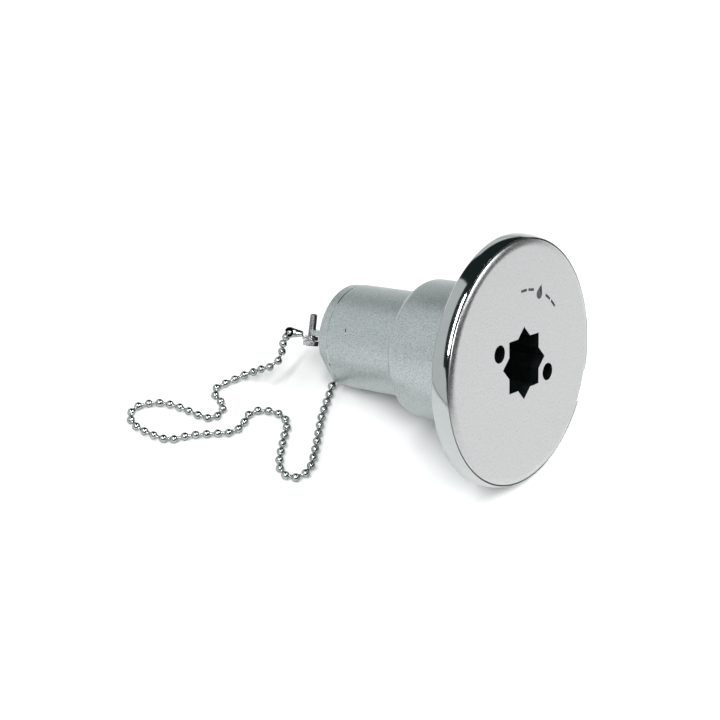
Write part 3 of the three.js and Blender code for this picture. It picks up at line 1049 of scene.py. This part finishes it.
def add_coupling(name, node, body, matrix, leaving):
    """A coupling whose inner faces are near black, painted shade. The chain leaves it along a
    direction of its frame.
    """
    part = object_from(name, coupling_mesh(), BRIGHT, matrix)
    part.data.materials.append(POCKET)
    cut(part, coupling_openings(leaving))
    # Faces that look inward take the near-black pocket material: painted shade inside the shell.
    for face in part.data.polygons:
        outward = Vector((0, *face.center.yz)).normalized()
        face.material_index = int(face.normal.dot(outward) < -0.1)
    finish_edges(part, 0.04)
    settle(part, body, node)


def add_end_ball(name, node, body, at, toward):
    turn = toward.to_track_quat("Z", "Y").to_matrix().to_4x4()
    place = Matrix.Translation(at) @ turn
    add_part(name, ball_mesh(END_BALL_R), CHAIN, body, node, place, bevel=0)


down = AXIS_FRAME @ Matrix.Translation(CAP_LINK_BEAD * MM) @ turned_by(90, "Y")
add_coupling("cap_coupling_shell", "cap_coupling", "swivel", down, Vector((1, 0, 0)))
add_end_ball("cap_chain_ball", "cap_end_ball", "swivel", CAP_END, -OUTWARD)

# The anchor at the lug: machine screw, folded tab, coupling and the chain's end ball.
TAB_CLEARANCE = 0.6
ANCHOR_TAB_THICKNESS = 1.4
ANCHOR_TAB_HALF_WIDTH = 1.7
ANCHOR_EYE_ROOT = 2.3  # radius where the strip runs into the eye
ANCHOR_TAB_TOP = -LUG_THICKNESS / 2 - TAB_CLEARANCE
ANCHOR_TAB_LOW = ANCHOR_TAB_TOP - ANCHOR_TAB_THICKNESS
ANCHOR_HEAD = ANCHOR_TAB_LOW - GAP
ANCHOR_HEAD_FLATS = 4.8
ANCHOR_HEAD_HEIGHT = 1.7
ANCHOR_SHANK_R = 1.22
ANCHOR_TIP = LUG_THICKNESS / 2 + 5.6


def anchor_screw_mesh():
    outline = hexagon(ANCHOR_HEAD_FLATS)
    head = moved(prism(outline, ANCHOR_HEAD - ANCHOR_HEAD_HEIGHT, ANCHOR_HEAD), turned_by(12))
    shank = lathe([
        (0, ANCHOR_HEAD - 0.1), (ANCHOR_SHANK_R, ANCHOR_HEAD - 0.1),
        (ANCHOR_SHANK_R, ANCHOR_TIP - 0.35), (0.9, ANCHOR_TIP), (0, ANCHOR_TIP),
    ], 32)
    ridge = thread(1.2, 1.47, ANCHOR_HEAD + 0.6, ANCHOR_TIP - 0.2, pitch=0.5, segments=32)
    return joined([head, shank, ridge])


def anchor_leaf_mesh(low, high):
    """One leaf of the folded strip, cut away where its eye is."""
    half = ANCHOR_TAB_HALF_WIDTH
    strip = [(0.4, -half), (2.5, -half), (3.1, -1.1), (3.1, 1.1), (2.5, half), (0.4, half)]
    leaf = object_from("leaf", prism(strip, low, high), matrix=Matrix.Identity(4))
    cut(leaf, [rod(ANCHOR_EYE_ROOT, low - 1, high + 1)])
    mesh = bmesh.new()
    mesh.from_mesh(leaf.data)
    bpy.data.objects.remove(leaf)
    return moved(mesh, Matrix.Scale(1 / MM, 4))


def anchor_tab_mesh():
    """A strip folded in two leaves round the eye, which narrows to a neck with a bead."""
    middle = (ANCHOR_TAB_LOW + ANCHOR_TAB_TOP) / 2
    meshes = []
    for low, high in ((ANCHOR_TAB_LOW, middle - 0.05), (middle + 0.05, ANCHOR_TAB_TOP)):
        meshes.append(anchor_leaf_mesh(low, high))
        meshes.append(washer(1.65, 2.6, low, high, 48))
    meshes.append(block((2.6, -0.35, ANCHOR_TAB_TOP - 0.4),
                        (LINK_START - 0.6, 0.35, ANCHOR_TAB_TOP + 0.3)))
    bead = Matrix.Translation((LINK_START, 0, LINK_Z)) @ turned_by(90, "Y")
    meshes.append(moved(ball_mesh(1), bead))
    return joined(meshes)


def facing_camera():
    """The fixed turn about the link's length, in degrees, at which the photo shows the window."""
    away = (LINK_FRAME.to_3x3().transposed() @ (CAMERA_AT - LINK_FRAME.translation)).normalized()
    return math.degrees(math.atan2(-away.y, away.z))


def add_anchor():
    add_part("anchor_screw_part", anchor_screw_mesh(), BRIGHT, "filler", "anchor_screw",
             LINK_FRAME, bevel=0.06)
    add_part("anchor_tab_part", anchor_tab_mesh(), BRIGHT, "anchor_link", "anchor_tab",
             LINK_FRAME, bevel=0.06)
    place = LINK_FRAME @ Matrix.Translation(Vector((LINK_START, 0, LINK_Z)) * MM)
    place = place @ turned_by(facing_camera(), "X")
    leaving = (place.to_3x3().transposed() @ (Vector(DROP_ROUTE[0]) - ANCHOR_END)).normalized()
    add_coupling("anchor_coupling_shell", "anchor_coupling", "anchor_link", place, leaving)
    add_end_ball("anchor_chain_ball", "anchor_end_ball", "anchor_link", ANCHOR_END,
                 LINK_FRAME.to_3x3() @ Vector((1, 0, 0)))


add_anchor()


# ---- the floor and the lights ----------------------------------------------------------------
def add_floor():
    mesh = bmesh.new()
    bmesh.ops.create_grid(mesh, x_segments=1, y_segments=1, size=4 / MM)
    m = Nodes("table_top")
    m.feed(color=m.shade(m.noise(3, 3), (0.86, 0.86, 0.86), (0.9, 0.9, 0.9)), roughness=0.6)
    floor = object_from("floor", mesh, m.material, Matrix.Identity(4))


def area_light(name, at, target, size, power, along=(1, 0, 0)):
    """A rectangular light at a place, facing a target, with its first side along a direction."""
    data = bpy.data.lights.new(name, "AREA")
    data.shape = "RECTANGLE"
    data.size, data.size_y = size
    data.energy = power
    light = bpy.data.objects.new(name, data)
    at, target = Vector(at), Vector(target)
    back = (at - target).normalized()
    across = back.cross(Vector(along)).normalized()
    turn = Matrix((across.cross(back), across, back)).transposed().to_4x4()
    light.matrix_world = Matrix.Translation(at) @ turn
    bpy.context.scene.collection.objects.link(light)


ROOM_COLOR = (0.024, 0.034, 0.035, 1)
PAPER_COLOR = (1.0, 1.04, 1.04, 1)


def add_world():
    """A dim room with white paper low on the +y side and a large white panel on the -x side."""
    world = bpy.data.worlds.new("studio")
    world.use_nodes = True
    tree = world.node_tree
    direction = tree.nodes.new("ShaderNodeTexCoord").outputs["Generated"]

    def past(axis, limit, blur=0.02):
        """1 where the direction goes further along an axis than a limit, and 0 elsewhere."""
        dot = tree.nodes.new("ShaderNodeVectorMath")
        dot.operation = "DOT_PRODUCT"
        dot.inputs[1].default_value = axis
        edge = tree.nodes.new("ShaderNodeMapRange")
        edge.interpolation_type = "SMOOTHSTEP"
        edge.inputs["From Min"].default_value = limit - blur
        edge.inputs["From Max"].default_value = limit + blur
        tree.links.new(direction, dot.inputs[0])
        tree.links.new(dot.outputs["Value"], edge.inputs["Value"])
        return edge.outputs["Result"]

    def combined(operation, a, b):
        node = tree.nodes.new("ShaderNodeMath")
        node.operation = operation
        tree.links.new(a, node.inputs[0])
        tree.links.new(b, node.inputs[1])
        return node.outputs[0]

    # The paper rises to about 25 degrees. Both stop at slanting planes, set by what the flange shows.
    paper = combined("MULTIPLY", past((0, 0, -1), -0.43), past((-0.4, 1.1, -1), 0))
    panel = combined("MULTIPLY", past((0.03, 0.75, -0.48), -0.1), past((-0.951, 0.309, 0), 0))
    ramp = tree.nodes.new("ShaderNodeValToRGB")
    ramp.color_ramp.elements[0].color = ROOM_COLOR
    ramp.color_ramp.elements[1].color = PAPER_COLOR
    tree.links.new(combined("MAXIMUM", paper, panel), ramp.inputs["Fac"])
    tree.links.new(ramp.outputs["Color"], tree.nodes["Background"].inputs["Color"])
    bpy.context.scene.world = world


add_floor()
add_world()
# The strip makes the thin bright line on the flange, beside its seam with the cap.
area_light("strip", at=(-0.705, 0.21, 1.43), target=(0, -0.03, 0.06), size=(1.5, 0.13), power=15,
           along=(0.87, 0.17, 0.19))
area_light("main", at=(0.95, -1.2, 1.7), target=(0, 0, 0), size=(1.2, 1.2), power=42)
area_light("fill", at=(-0.9, -0.65, 1.5), target=(0, 0, 0), size=(0.7, 0.7), power=20)
bpy.context.scene.view_settings.view_transform = "Standard"
